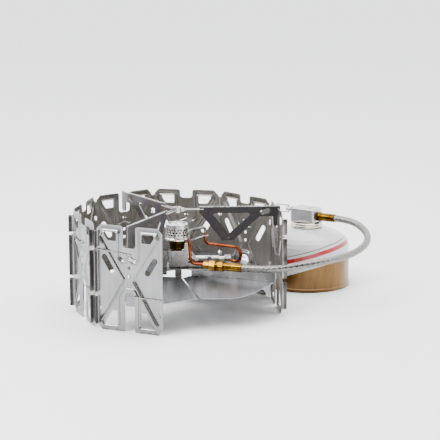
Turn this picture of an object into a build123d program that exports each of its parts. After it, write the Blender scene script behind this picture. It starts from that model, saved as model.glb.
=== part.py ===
from build123d import *
import os
from math import atan2, cos, degrees, hypot, pi, radians, sin, tan

# Remote-canister stove with a folding windscreen, standing ready for use.
# Millimetres, +Z up. The origin is on the burner's axis, on the ground.
# The ring of screen panels stands around the origin, the gas canister stands behind it to the right.

# ---------------------------------------------------------------- driving dimensions
SHEET = 0.8  # thickness of all the sheet steel

PANEL_WIDTH = 66.0
PANEL_HEIGHT = 98.0
HINGE_PITCH = 70.6  # from one hinge axis to the next
FREE_EDGE = (-8.3, -102.5)  # where the ring of panels starts, at the front
FIRST_HEADING = 156.3  # direction of the front panel, seen from above
TURNS = (44, 35, 40, 47, 35, 38)  # how far the ring turns at each hinge, as it stands
PANEL_NAMES = (
    "panel_front",
    "panel_front_left",
    "panel_left",
    "panel_rear_left",
    "panel_rear",
    "panel_rear_right",
    "panel_right",
)
ARM_PANELS = {"arm_front": 0, "arm_rear": 3, "arm_right": 6}  # the panels that carry the pot supports

TOP_NOTCH_WIDTH = 12.5
ARM_NOTCH_DEPTH = 20.0  # on the panels that carry an arm
TOP_NOTCH_DEPTH = 8.5  # on the others
FOOT_NOTCH_WIDTH = 10.0
FOOT_NOTCH_HEIGHT = 37.0
FLANGE = 4.0  # how far the hinge flanges stand out of a panel
FLANGE_STRIPS = ((5, 31), (35, 73), (77, 92))
HINGE_TAB = 34.65  # how far the sheet reaches towards the hinge along those strips, from a panel's middle
WIRE_R = 0.5  # hinge wires
WIRE_LOW = 33.0
WIRE_HIGH = 75.0

ARM_TOP = 99.0
ARM_THICK = 1.2
ARM_TEETH = 22
ARM_PITCH = 3.0
BAIL_R = 0.55
HUB_PIN = (5.6, 96.2)  # radius and height of the pins that the arms swing on

CUP_TOP = 83.0
CUP_R = 10.4
SKIRT_R = 12.4
CUP_BOTTOM = 67.6
HOLES_ROUND = 22
HOLE_R = 0.9
HOLE_ROWS = (72.9, 75.3, 77.7)
MIX_Z = 46.6  # axis of the mixing tube
MIX_R = 4.7
MIX_REACH = 40.0
AIR_HOLE = (31.0, 2.0, 35.0)  # place along the mixing tube, radius, and how far its axis is tilted
JET_END = 51.6  # where the preheat tube enters the jet holder
LAST_TURN = (61.5, -4.6, 44.4)  # the preheat tube's last corner before the jet holder

REFLECTOR_Z = 34.0
FOLD_START = (19.0, -10.0)  # the fold line of the right front petal
FOLD_ANGLE = -21.0
FOLD_LENGTH = 78.2
FOLD_SLOTS = (29.3, 42.4, 55.8, 69.0)  # places along the fold
FOLD_LIPS = ((7.5, 11.6), (35.8, 7.6), (49.1, 7.6), (62.4, 7.6))  # places along the fold, and lengths

TUBE_R = 1.45  # preheat tube
HOSE_R = 3.35
FITTING_START = (25.7, -16.0, 46.0)  # where the preheat tube enters its nut
FITTING_ANGLE = -21.0

CANISTER = (130.0, 97.6)
CANISTER_R = 45.0
COLLAR_R = 16.0
COLLAR_TOP = 64.8
VALVE_ANGLE = -32.0  # the valve block's own direction, seen from above
BLOCK_BOTTOM = 65.0
BLOCK_TOP = 79.0
BLOCK_LOW = (-14.1, -9.7)
BLOCK_HIGH = (12.3, 9.7)
OUTLET_Z = 71.0
OUTLET_NUT = 5.4
OUTLET_FERRULE = 14.5
SPINDLE_Z = 75.5

os.makedirs("parts", exist_ok=True)


# ---------------------------------------------------------------- helpers
def save(name, shape):
    """Write one node's solids to its own STEP file."""
    shape.label = name
    export_step(shape, os.path.join("parts", name + ".step"))


def direction(angle):
    return Vector(cos(radians(angle)), sin(radians(angle)), 0)


def axis_plane(start, way):
    """A plane across the direction way, for a turned part that lies along it."""
    return Plane(origin=start, z_dir=way)


def rod(start, end, radius):
    """A round bar from one point to another."""
    start, end = Vector(*start), Vector(*end)
    return axis_plane(start, end - start) * Cylinder(
        radius, (end - start).length, align=(Align.CENTER, Align.CENTER, Align.MIN)
    )


def hexagon(start, way, length, across):
    """A hexagon bar of the given width across its flats, with both ends chamfered."""
    bar = axis_plane(start, way) * extrude(RegularPolygon(across / 2, 6, major_radius=False), length)
    corners = axis_plane(start, way) * Cylinder(
        across / 2 * 1.09, length, align=(Align.CENTER, Align.CENTER, Align.MIN)
    )
    return bar & chamfer(corners.edges(), min(0.7, length * 0.2))


def bent_wire(points, radius, bend):
    """A round wire along straight runs, with every corner bent to the same radius."""
    path = FilletPolyline(*points, radius=bend)
    return sweep(Plane(origin=path @ 0, z_dir=path % 0) * Circle(radius), path=path)


def turned(profile, centre):
    """A solid of revolution about a vertical axis. The profile is (radius, height) points."""
    face = make_face(Polyline(*[(r, 0, z) for r, z in profile], close=True))
    return Pos(centre[0], centre[1], 0) * revolve(face, Axis.Z)


def only_near(shape, points, radius):
    """Fillet the corners of a flat shape that lie at the given points."""
    wanted = [
        v for v in shape.vertices() if any(hypot(v.X - x, v.Y - y) < 0.05 for x, y in points)
    ]
    return fillet(wanted, radius)


# ---------------------------------------------------------------- windscreen
headings = [FIRST_HEADING]
for turn in TURNS:
    headings.append(headings[-1] - turn)
hinge_points = [Vector(*FREE_EDGE, 0)]
for heading in headings:
    hinge_points.append(hinge_points[-1] + direction(heading) * HINGE_PITCH)


def panel_plane(index):
    """X to the right as seen from outside, Y up, Z outwards, from the middle of the panel's foot."""
    heading = direction(headings[index])
    middle = (hinge_points[index] + hinge_points[index + 1]) / 2
    return Plane(origin=middle, x_dir=-heading, z_dir=Vector(-heading.Y, heading.X, 0))


def mirrored(shape):
    return shape + mirror(shape, Plane.YZ)


def panel_blank(hinged_sides, notch_depth):
    """The flat pattern of one panel: two lobes at the top, two feet, and the cut-outs."""
    blank = Pos(0, PANEL_HEIGHT / 2) * Rectangle(PANEL_WIDTH, PANEL_HEIGHT)
    blank = chamfer(blank.vertices(), 4.5)
    for low, high in FLANGE_STRIPS:
        for side in hinged_sides:
            blank += Pos(side * HINGE_TAB / 2, (low + high) / 2) * Rectangle(HINGE_TAB, high - low)
    notch = Pos(0, PANEL_HEIGHT) * Rectangle(TOP_NOTCH_WIDTH, 2 * notch_depth)
    blank -= fillet(notch.vertices(), 3)
    arch = FOOT_NOTCH_WIDTH / 2
    blank -= Rectangle(FOOT_NOTCH_WIDTH, 2 * (FOOT_NOTCH_HEIGHT - arch))
    blank -= Pos(0, FOOT_NOTCH_HEIGHT - arch) * Circle(arch)
    blank = only_near(blank, [(s * TOP_NOTCH_WIDTH / 2, PANEL_HEIGHT) for s in (-1, 1)], 2.5)
    blank = only_near(blank, [(s * arch, 0) for s in (-1, 1)], 1.5)
    lobe = Polygon((12.8, 91.7), (25.3, 91.7), (25.3, 89.5), (21.5, 83.7), (12.8, 83.7), align=None)
    foot = Polygon((12.2, 19.5), (17.3, 19.5), (25.3, 6.5), (24.5, 5.0), (12.2, 5.0), align=None)
    slot = Pos(21.7, 62.3) * Rot(0, 0, 58) * SlotOverall(19, 5.5)
    corner = Polygon((28.4, 21.4), (31.6, 21.4), (31.6, 15.2), align=None)
    for hole in (fillet(lobe.vertices(), 0.9), fillet(foot.vertices(), 0.5), slot, corner):
        blank -= mirrored(hole)
    for height in (52, 60):
        blank -= Pos(0, height) * Circle(1.5)
    for side in (-1.4, 1.4):
        blank -= Pos(side, 72.3) * Circle(0.8)
    return blank


def panel_solid(hinged_sides, notch_depth):
    """One panel, with tabs and outward flanges along the sides that carry a hinge."""
    half = PANEL_WIDTH / 2
    solid = extrude(panel_blank(hinged_sides, notch_depth), SHEET / 2, both=True)
    for low, high in FLANGE_STRIPS:
        for side in hinged_sides:
            solid += Pos(side * (half - SHEET / 2), (low + high) / 2, FLANGE / 2) * Box(
                SHEET, high - low, FLANGE + SHEET
            )
    return solid


for index, name in enumerate(PANEL_NAMES):
    hinged_sides = (-1,) if index == 0 else (-1, 1)
    notch_depth = ARM_NOTCH_DEPTH if index in ARM_PANELS.values() else TOP_NOTCH_DEPTH
    save(name, panel_plane(index) * panel_solid(hinged_sides, notch_depth))

wire_out = SHEET / 2 + WIRE_R + 0.15  # wires lie just off the outer faces


def leg_high(index, side):
    """Points of the upper wire leg on a panel, from its edge to the middle holes."""
    plane = panel_plane(index)
    half = PANEL_WIDTH / 2
    return [
        plane.from_local_coords((side * (half + 0.8), WIRE_HIGH, wire_out)),
        plane.from_local_coords((side * 1.4, 72.3, wire_out)),
        plane.from_local_coords((side * 1.4, 72.3, -1.6)),
    ]


def leg_low(index, side):
    """Points of the lower wire leg on a panel, from the top of the foot notch to the edge."""
    plane = panel_plane(index)
    half = PANEL_WIDTH / 2
    return [
        plane.from_local_coords((side * 1.0, WIRE_LOW + 0.5, -0.7)),
        plane.from_local_coords((side * 1.0, WIRE_LOW + 0.5, wire_out)),
        plane.from_local_coords((side * (half + 0.8), WIRE_LOW, wire_out)),
    ]


for index in range(6):
    corner = hinge_points[index + 1]
    points = leg_low(index + 1, 1)
    points += [corner + Vector(0, 0, WIRE_LOW), corner + Vector(0, 0, WIRE_HIGH)]
    points += leg_high(index, -1)
    save(f"hinge_wire_{index + 1}", bent_wire(points, WIRE_R, 0.9))

edge_hook = PANEL_WIDTH / 2 + 2.2
front = panel_plane(0)
points = [
    front.from_local_coords((1.0, WIRE_LOW + 0.5, -0.7)),
    front.from_local_coords((1.0, WIRE_LOW + 0.5, wire_out)),
    front.from_local_coords((edge_hook, WIRE_LOW, wire_out)),
    front.from_local_coords((edge_hook, WIRE_LOW, -4.5)),
    front.from_local_coords((edge_hook - 2.5, WIRE_LOW, -4.5)),
]
save("reflector_tie_wire", bent_wire(points, WIRE_R, 0.9))
last = panel_plane(6)
points = [
    last.from_local_coords((-1.4, 72.3, -1.6)),
    last.from_local_coords((-1.4, 72.3, wire_out)),
    last.from_local_coords((-edge_hook, WIRE_HIGH, wire_out)),
    last.from_local_coords((-edge_hook, WIRE_HIGH, -2.6)),
    last.from_local_coords((3.0 - edge_hook, WIRE_HIGH, -2.6)),
]
save("closing_hook_wire", bent_wire(points, WIRE_R, 0.9))


# ---------------------------------------------------------------- pot supports
def radial_plane(azimuth):
    """X outwards from the burner's axis, Y up, Z across."""
    out = direction(azimuth)
    return Plane(origin=(0, 0, 0), x_dir=out, z_dir=out.cross(Vector(0, 0, 1)))


def arm_solid(reach):
    """One truss-shaped pot support, cut from sheet, whose outer end drops into a panel's notch."""
    outline = Polygon(
        (21.5, ARM_TOP),
        (reach, ARM_TOP),
        (reach, 80.5),
        (reach - 1.5, 79.0),
        (reach - 5.0, 79.0),
        (reach - 6.5, 80.5),
        (reach - 6.5, 88.5),
        (79.0, 88.5),
        (54.0, 65.5),
        (43.5, 65.5),
        (21.5, 93.0),
        align=None,
    )
    outline = only_near(outline, [(79.0, 88.5), (54.0, 65.5), (43.5, 65.5)], 2.0)
    window = Polygon((33.5, 92.2), (72.0, 92.2), (49.3, 71.5), align=None)
    outline -= fillet(window.vertices(), 1.5)
    outline -= Pos(84.5, 93.4) * Rot(0, 0, 20) * SlotOverall(9.5, 4.4)
    outline -= Pos(25.2, HUB_PIN[1]) * Circle(BAIL_R + 0.15)
    outline -= Pos(49.0, 68.4) * Circle(0.9)
    for tooth in range(ARM_TEETH):
        at = 27.0 + tooth * ARM_PITCH
        outline -= Polygon(
            (at, ARM_TOP + 0.1), (at + 0.9, ARM_TOP - 0.8), (at + 1.8, ARM_TOP + 0.1), align=None
        )
    return extrude(outline, ARM_THICK / 2, both=True)


def bail_solid():
    """The closed wire link between the hub's lug and the arm's inner end."""
    inner, height = HUB_PIN
    outer, side = 25.2, 1.75
    points = [
        (inner, height, 0.2),
        (inner, height, side),
        (outer, height, side),
        (outer, height, -side),
        (inner, height, -side),
        (inner, height, -0.2),
    ]
    return bent_wire(points, BAIL_R, 0.8)


azimuths = {}
for name, index in ARM_PANELS.items():
    middle = (hinge_points[index] + hinge_points[index + 1]) / 2
    azimuths[name] = degrees(atan2(middle.Y, middle.X))
    reach = middle.length + SHEET / 2 + 2.2
    plane = radial_plane(azimuths[name])
    save(name, plane * arm_solid(reach))
    save(name.replace("arm", "bail"), plane * bail_solid())

hub = turned([(2.3, 93.6), (4.3, 93.6), (4.3, 98.6), (2.3, 98.6)], (0, 0))
for azimuth in azimuths.values():
    plane = radial_plane(azimuth)
    lug = Pos(5.5, HUB_PIN[1], 0) * Box(3.0, 3.2, 1.8)
    hub += plane * lug
for azimuth in azimuths.values():
    plane = radial_plane(azimuth)
    hub -= plane * (Pos(HUB_PIN[0], HUB_PIN[1], 0) * Cylinder(BAIL_R + 0.08, 6))
save("support_hub", hub)

# ---------------------------------------------------------------- burner
cup = turned(
    [
        (CUP_R - 1.6, CUP_TOP),
        (CUP_R - 0.6, CUP_TOP),
        (CUP_R, CUP_TOP - 0.6),
        (SKIRT_R - 0.6, 70.0),
        (SKIRT_R, CUP_BOTTOM + 1.2),
        (SKIRT_R, CUP_BOTTOM),
        (SKIRT_R - 0.9, CUP_BOTTOM),
        (SKIRT_R - 0.9, CUP_BOTTOM + 0.9),
        (SKIRT_R - 1.5, 69.7),
        (CUP_R - 0.9, CUP_TOP - 1.8),
        (CUP_R - 1.6, CUP_TOP - 1.8),
    ],
    (0, 0),
)
drills = []
for row, height in enumerate(HOLE_ROWS):
    for step in range(HOLES_ROUND):
        azimuth = (step + row % 2 / 2) * 360 / HOLES_ROUND
        out = direction(azimuth)
        level = Vector(0, 0, height)
        drills.append(rod(out * (CUP_R - 2) + level, out * (SKIRT_R + 1) + level, HOLE_R))
save("burner_cup", cup - drills)

save(
    "burner_top_disc",
    turned(
        [(0, 80.2), (8.5, 80.2), (8.5, 81.0), (6.4, 81.0), (5.6, 82.2), (4.4, 82.2), (3.6, 81.2), (0, 81.2)],
        (0, 0),
    ),
)
save(
    "burner_base_ring",
    turned(
        [(4.8, 62.9), (7.0, 62.9), (7.7, 63.5), (7.7, 66.0), (7.2, 66.6), (7.2, 69.4), (4.8, 69.4)],
        (0, 0),
    ),
)
collar = [(4.8, 58.3), (7.4, 58.3), (7.8, 58.8), (7.8, 60.5), (7.0, 61.0), (7.0, 61.4), (7.5, 61.8), (7.5, 62.7)]
save("burner_collar", turned(collar + [(4.8, 62.7)], (0, 0)))


def mixing_pipe(radius, top, reach):
    """An upright pipe with an elbow at its foot that runs out along +X."""
    upright = Pos(0, 0, MIX_Z) * Cylinder(radius, top - MIX_Z, align=(Align.CENTER, Align.CENTER, Align.MIN))
    return upright + Pos(0, 0, MIX_Z) * Sphere(radius) + rod((0, 0, MIX_Z), (reach, 0, MIX_Z), radius)


hole_at, hole_r, hole_tilt = AIR_HOLE
hole_way = Vector(0, -cos(radians(hole_tilt)), sin(radians(hole_tilt))) * (MIX_R + 2)
hole_middle = Vector(hole_at, 0, MIX_Z)
air_hole = rod(hole_middle - hole_way, hole_middle + hole_way, hole_r)
save("mixing_tube", mixing_pipe(MIX_R, 66.0, MIX_REACH) - mixing_pipe(MIX_R - 0.7, 67.0, MIX_REACH + 1) - air_hole)
jet_way = Vector(-1, 0, 0)
jet_holder = hexagon((JET_END, 0, MIX_Z), jet_way, 6.6, 9.6)
jet_holder += rod((JET_END - 6.6, 0, MIX_Z), (MIX_REACH - 1.6, 0, MIX_Z), MIX_R - 0.8)
jet_holder -= rod(LAST_TURN, (JET_END, 0, MIX_Z), TUBE_R + 0.05)
save("jet_holder", jet_holder - rod((MIX_REACH + 5.6, 0, MIX_Z), (MIX_REACH - 2.6, 0, MIX_Z), 1.6))
jet = rod((MIX_REACH + 5.5, 0, MIX_Z), (MIX_REACH - 3.4, 0, MIX_Z), 1.5)
save("gas_jet", jet - rod((MIX_REACH + 6, 0, MIX_Z), (MIX_REACH - 4, 0, MIX_Z), 0.3))

base_z = 41.0
bracket = Pos(-0.4, 0, 50.2) * (Box(14.8, 21.6, 15.8) - Box(13.2, 20.0, 17))
bracket -= Pos(-0.4, 10.6, 50.2) * Box(13.2, 3, 17)
bracket -= rod((3, 0, MIX_Z), (9, 0, MIX_Z), MIX_R + 0.3)
save("burner_bracket", bracket)

frame_face = Polygon((7.0, 41.8), (27.0, 41.8), (27.0, 46.0), (22.5, 46.0), (11.0, 62.0), (7.0, 62.0), align=None)
frame_face -= Polygon((10.6, 46.0), (19.0, 46.0), (10.6, 57.5), align=None)
frame_wall = Pos(0, -8.4, 0) * (Plane.XZ * extrude(frame_face, SHEET))
base_plate = Pos(6.0, -3.0, base_z + SHEET / 2) * Box(46.0, 25.0, SHEET)
base_plate -= Pos(17.0, -1.5, base_z) * Box(10, 9, 4)
left_post = Pos(-13.0, -12.0, 46.6) * Box(7.0, SHEET, 23.0)
legs = Pos(1.3, -15.1, 38.2) * Box(6.2, SHEET, 7.2) + Pos(17.8, -15.1, 38.2) * Box(6.4, SHEET, 7.2)
for x in (1.3, 17.8):
    legs += Pos(x, -13.5, REFLECTOR_Z + SHEET + 0.2) * Box(6.2, 4.0, SHEET)
save("stand_frame", frame_wall + base_plate + left_post + legs)

screws = []
for x in (-5.2, 1.6):
    for y in (-8.0, 8.0):
        screws.append(Pos(x, y, 42.6) * Cylinder(1.5, 1.4))
save("bracket_screws", Compound(screws))


# ---------------------------------------------------------------- heat reflector
def sloping_plane(origin, angle, slope):
    """X along a fold line, Y outwards and downhill from it, Z up through the sheet."""
    along = direction(angle)
    out = Vector(along.Y, -along.X, 0) * cos(radians(slope)) - Vector(0, 0, sin(radians(slope)))
    return Plane(origin=origin, x_dir=along, z_dir=out.cross(along) * -1)


fold_plane = sloping_plane((*FOLD_START, REFLECTOR_Z), FOLD_ANGLE, 0)
plate_outline = Polygon(
    (-4.0, 0.6),
    (FOLD_LENGTH, 0.6),
    (69.0, -29.0),
    (58.0, -50.0),
    (22.0, -42.0),
    (-3.0, -14.0),
    align=None,
)
for slot_at in FOLD_SLOTS:
    plate_outline -= Pos(slot_at, -2.6) * RectangleRounded(5.0, 4.0, 0.8)
plate = extrude(plate_outline, SHEET / 2, both=True)
for lip_at, lip_length in FOLD_LIPS:
    plate += Pos(lip_at, 0.2, 0.9) * Box(lip_length, SHEET, 2.6)
save("reflector_plate", fold_plane * plate)

ear = Plane.XZ * extrude(Polygon((75.0, 33.5), (89.0, 33.5), (88.0, 17.5), align=None), SHEET)
save("reflector_ear", Pos(0, -30.0, 0) * ear)

right_petal_plane = sloping_plane((*FOLD_START, REFLECTOR_Z), FOLD_ANGLE, 5)
right_petal = Polygon(
    (-9.2, 12.0),
    (-3.5, 1.2),
    (FOLD_LENGTH - 0.5, 1.2),
    (70.3, 30.9),
    (63.7, 46.1),
    (54.6, 54.1),
    (28.7, 61.7),
    align=None,
)
right_petal -= Pos(51.0, 54.5) * Rot(0, 0, -15) * SlotOverall(4.0, 1.2)
save("reflector_petal_right", right_petal_plane * extrude(right_petal, SHEET / 2, both=True))

LEFT_FOLD = (-4.0, -17.0)
left_petal_plane = sloping_plane((*LEFT_FOLD, REFLECTOR_Z), FOLD_ANGLE, 4.5)
left_petal = Polygon(
    (-9.7, 2.6),
    (8.0, -1.1),
    (46.5, 52.4),
    (25.6, 71.0),
    (1.5, 76.0),
    (-20.4, 75.0),
    (-26.5, 45.5),
    (-13.1, 10.4),
    align=None,
)
left_petal -= Pos(23.0, 69.0) * Rot(0, 0, -12) * SlotOverall(4.0, 1.4)
left_sheet = left_petal_plane * extrude(left_petal, SHEET / 2, both=True)
lip = panel_plane(0) * (Pos(0, 28.8, -2.0) * Box(9.0, 9.6, SHEET))
lip_strip = panel_plane(0) * (Pos(0, 27.9, -3.3) * Box(9.0, SHEET, 3.4))
save("reflector_petal_left", left_sheet + lip + lip_strip)

rear_out = direction(azimuths["arm_rear"])
rear_plane = sloping_plane((rear_out.X * 12, rear_out.Y * 12, REFLECTOR_Z), azimuths["arm_rear"] + 90, 4)
rear_petal = Polygon((-9, 0), (9, 0), (28, 40), (26, 82.5), (-26, 82.5), (-28, 40), align=None)
rear_sheet = rear_plane * extrude(rear_petal, SHEET / 2, both=True)
rear_tongue = panel_plane(3) * (Pos(0, 28.4, -2.6) * Box(9.0, SHEET, 8.8))
save("reflector_petal_rear", rear_sheet + rear_tongue)


def facet(corners):
    """Flat sheet between corners. Those with a height set its plane, and the rest lie in that plane."""
    known = [Vector(*corner) for corner in corners if len(corner) == 3]
    normal = (known[1] - known[0]).cross(known[2] - known[0]).normalized()
    outline = []
    for corner in corners:
        drop = (corner[0] - known[0].X) * normal.X + (corner[1] - known[0].Y) * normal.Y
        outline.append(Vector(corner[0], corner[1], known[0].Z - drop / normal.Z))
    return extrude(make_face(Polyline(*outline, close=True)), SHEET / 2, dir=normal, both=True)


def inside_panel(index, across, height=None):
    """A point just inside a panel, with its height where one is given."""
    point = panel_plane(index).from_local_coords((across, 0, -1.8))
    return (point.X, point.Y) if height is None else (point.X, point.Y, height)


back_corner = (54.2, 22.6, REFLECTOR_Z)
fold_end = inside_panel(4, -33.0, 33.4)
back_sheet = facet([(22.0, 6.0, REFLECTOR_Z), back_corner, fold_end, inside_panel(4, 27.0), (6.5, 17.0)])
back_sheet += facet([back_corner, (89.0, 17.2), inside_panel(5, -32.0, 28.5), inside_panel(5, 31.0), fold_end])
save("reflector_petal_back", back_sheet)

# ---------------------------------------------------------------- preheat tube and fittings
fitting_way = direction(FITTING_ANGLE)
fitting_start = Vector(*FITTING_START)


def along_fitting(distance):
    return fitting_start + fitting_way * distance


tube_points = [
    along_fitting(0.4),
    (13.4, -11.4, 46.0),
    (10.9, -11.6, 77.6),
    (27.0, 3.0, 78.6),
    (27.0, 3.0, 62.4),
    (60.0, -8.5, 61.0),
    LAST_TURN,
    (JET_END, 0.0, MIX_Z),
]
path = FilletPolyline(*tube_points, radius=[4.5, 3.6, 3.6, 4.5, 6.5, 6.5])
tube = sweep(Plane(origin=path @ 0, z_dir=path % 0) * Circle(TUBE_R), path=path)
save("preheat_tube", tube)

stay_points = [(9.9, -1.0, 65.0), (18.0, -3.2, 68.4), (25.0, 0.4, 70.2), (29.4, 0.6, 70.4), (29.5, 5.2, 70.4)]
save("tube_stay", bent_wire(stay_points, 0.6, 0.9))

nut = hexagon(fitting_start, fitting_way, 6.0, 7.2) - rod(along_fitting(-1), along_fitting(7), TUBE_R + 0.05)
save("tube_nut", nut)
body = hexagon(along_fitting(6.4), fitting_way, 6.4, 10.4)
body += rod(along_fitting(12.8), along_fitting(14.0), 3.9)
save("fitting_body", body)
save("union_ring", rod(along_fitting(14.0), along_fitting(15.0), 4.9))
save("hose_nut", hexagon(along_fitting(15.0), fitting_way, 5.6, 9.6))
ferrule = rod(along_fitting(20.6), along_fitting(38.6), 4.1)
for groove in (21.6, 36.6):
    ring = rod(along_fitting(groove), along_fitting(groove + 1.0), 5)
    ferrule -= ring - rod(along_fitting(groove - 1), along_fitting(groove + 2), 3.7)
save("hose_ferrule", ferrule)

# ---------------------------------------------------------------- valve
valve_frame = Plane(
    origin=(CANISTER[0], CANISTER[1], 0), x_dir=direction(VALVE_ANGLE), z_dir=Vector(0, 0, 1)
)
outlet_way = Vector(1, 0, 0)
block_middle = Vector(
    (BLOCK_LOW[0] + BLOCK_HIGH[0]) / 2, (BLOCK_LOW[1] + BLOCK_HIGH[1]) / 2, (BLOCK_BOTTOM + BLOCK_TOP) / 2
)
block = Box(BLOCK_HIGH[0] - BLOCK_LOW[0], BLOCK_HIGH[1] - BLOCK_LOW[1], BLOCK_TOP - BLOCK_BOTTOM)
block = fillet(block.edges().filter_by(Axis.Z), 1.6)
block = chamfer(block.faces().sort_by(Axis.Z)[-1].edges(), 0.8)
block = Pos(*block_middle) * block
block -= Pos(0, 0, BLOCK_BOTTOM) * Cylinder(6.1, 10.4)
block -= rod((BLOCK_LOW[0] - 1, 0, SPINDLE_Z), (-6.0, 0, SPINDLE_Z), 2.05)
block -= Pos(3.2, 0, BLOCK_TOP) * Cylinder(3.2, 1.6)
save("valve_block", valve_frame * block)
save("valve_cap", valve_frame * (Pos(3.2, 0, BLOCK_TOP - 0.2) * Cylinder(3.1, 1.2)))
save("valve_seal", valve_frame * (Pos(0, 0, BLOCK_BOTTOM + 4.7) * Torus(3.4, 0.45)))

gland = hexagon((BLOCK_LOW[0], 0, SPINDLE_Z), Vector(-1, 0, 0), 3.6, 5.4)
gland -= rod((BLOCK_LOW[0] - 5, 0, SPINDLE_Z), (BLOCK_LOW[0] + 1, 0, SPINDLE_Z), 1.45)
save("gland_nut", valve_frame * gland)
spindle = rod((-21.6, 0, SPINDLE_Z), (-7.0, 0, SPINDLE_Z), 1.4) + rod(
    (-23.4, 0, SPINDLE_Z), (-18.4, 0, SPINDLE_Z), 2.2
)
handle_x = -21.0
spindle -= Pos(handle_x, 0, SPINDLE_Z) * Cylinder(0.75, 8)
save("valve_spindle", valve_frame * spindle)
handle_points = [
    (handle_x, 0, SPINDLE_Z - 2.0),
    (handle_x, 0, SPINDLE_Z - 3.6),
    (handle_x - 14.5, 0, SPINDLE_Z - 3.6),
    (handle_x - 14.5, 0, SPINDLE_Z + 3.6),
    (handle_x, 0, SPINDLE_Z + 3.6),
    (handle_x, 0, SPINDLE_Z - 1.4),
]
save("wire_handle", valve_frame * bent_wire(handle_points, 0.65, 1.0))

outlet_nut = hexagon((BLOCK_HIGH[0], 0, OUTLET_Z), outlet_way, OUTLET_NUT, 8.6)
save("outlet_nut", valve_frame * outlet_nut)
outlet_start = BLOCK_HIGH[0] + OUTLET_NUT
outlet_end = outlet_start + OUTLET_FERRULE
outlet = rod((outlet_start, 0, OUTLET_Z), (outlet_end, 0, OUTLET_Z), 4.1)
save("outlet_ferrule", valve_frame * outlet)

# ---------------------------------------------------------------- hose
hose_start = along_fitting(38.6)
hose_end = valve_frame.from_local_coords((outlet_end, 0, OUTLET_Z))
hose_route = [
    hose_start,
    along_fitting(38.6 + 19.5),
    (103.0, -41.5, 48.6),
    (126.5, -37.5, 51.6),
    (148.0, -26.0, 53.0),
    (166.5, -8.5, 54.0),
    (180.0, 12.0, 56.5),
    (187.0, 33.0, 60.0),
    (185.4, 52.0, 65.0),
    valve_frame.from_local_coords((outlet_end + 19.6, 0, OUTLET_Z)),
    hose_end,
]
runs = [Vector(*b) - Vector(*a) for a, b in zip(hose_route, hose_route[1:])]
radii = []
for before, after in zip(runs, runs[1:]):
    half_turn = radians(before.get_angle(after)) / 2
    radii.append(0.45 * min(before.length, after.length) / tan(half_turn))
hose_path = FilletPolyline(*hose_route, radius=radii)
hose = sweep(Plane(origin=hose_path @ 0, z_dir=hose_path % 0) * Circle(HOSE_R), path=hose_path)
save("hose", hose)
print("hose runs", [round(run.length, 1) for run in runs])
print("hose radii", [round(radius, 1) for radius in radii])
print("hose length", round(hose_path.length, 1), "volume ratio", round(hose.volume / (pi * HOSE_R**2 * hose_path.length), 4))

# ---------------------------------------------------------------- gas canister
WALL = 0.5
side_r = CANISTER_R - 1.1  # the wall above the rolled bead
wall_profile = [(side_r, 0.3), (44.7, 0.9), (CANISTER_R, 1.9), (44.7, 2.9), (side_r, 3.6), (side_r, 36.0)]
dome = [(43.6, 40.0), (42.4, 44.2), (40.0, 48.4), (36.2, 51.9), (31.0, 54.6), (25.0, 56.6), (20.0, 57.9), (15.8, 59.2)]
inner_dome = [(r - WALL, z - WALL) for r, z in dome]
wall_profile += dome + inner_dome[::-1]
wall_profile += [(side_r - WALL, 36.0), (side_r - WALL, 3.6), (side_r - 0.1, 2.8)]
save("canister_shell", turned(wall_profile, CANISTER))
base_profile = [
    (0, 9.0),
    (16.0, 8.2),
    (30.0, 5.4),
    (38.5, 0.8),
    (39.6, 0.0),
    (42.8, 0.0),
    (43.6, 0.8),
    (43.6, 2.4),
    (42.8, 2.4),
    (42.4, 1.0),
    (39.8, 1.0),
    (30.6, 6.4),
    (16.2, 9.2),
    (0, 10.0),
]
save("canister_base", turned(base_profile, CANISTER))
collar_profile = [
    (15.0, 59.5),
    (15.9, 59.7),
    (COLLAR_R + 0.3, 60.5),
    (COLLAR_R + 0.3, 61.8),
    (COLLAR_R - 0.4, 62.6),
    (COLLAR_R - 0.4, 63.0),
    (COLLAR_R, 63.4),
    (COLLAR_R, COLLAR_TOP - 0.7),
    (COLLAR_R - 0.8, COLLAR_TOP),
    (COLLAR_R - 2.4, COLLAR_TOP - 0.4),
    (COLLAR_R - 3.0, 60.4),
    (6.0, 59.8),
    (5.0, 59.8),
    (5.0, 58.8),
    (COLLAR_R - 2.4, 58.8),
]
save("valve_cup", turned(collar_profile, CANISTER))
save("canister_valve", turned([(1.3, 54.0), (5.0, 54.0), (5.0, 59.8), (5.5, 60.2), (5.5, 68.4), (1.3, 68.4)], CANISTER))
save("valve_stem", turned([(0, 56.0), (1.1, 56.0), (1.1, 66.0), (0.7, 66.4), (0, 66.4)], CANISTER))
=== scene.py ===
"""Looks of a remote-canister stove with a folding windscreen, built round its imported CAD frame."""

import math

import bpy
import numpy as np
from mathutils import Matrix, Vector
from mathutils.geometry import delaunay_2d_cdt


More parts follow.
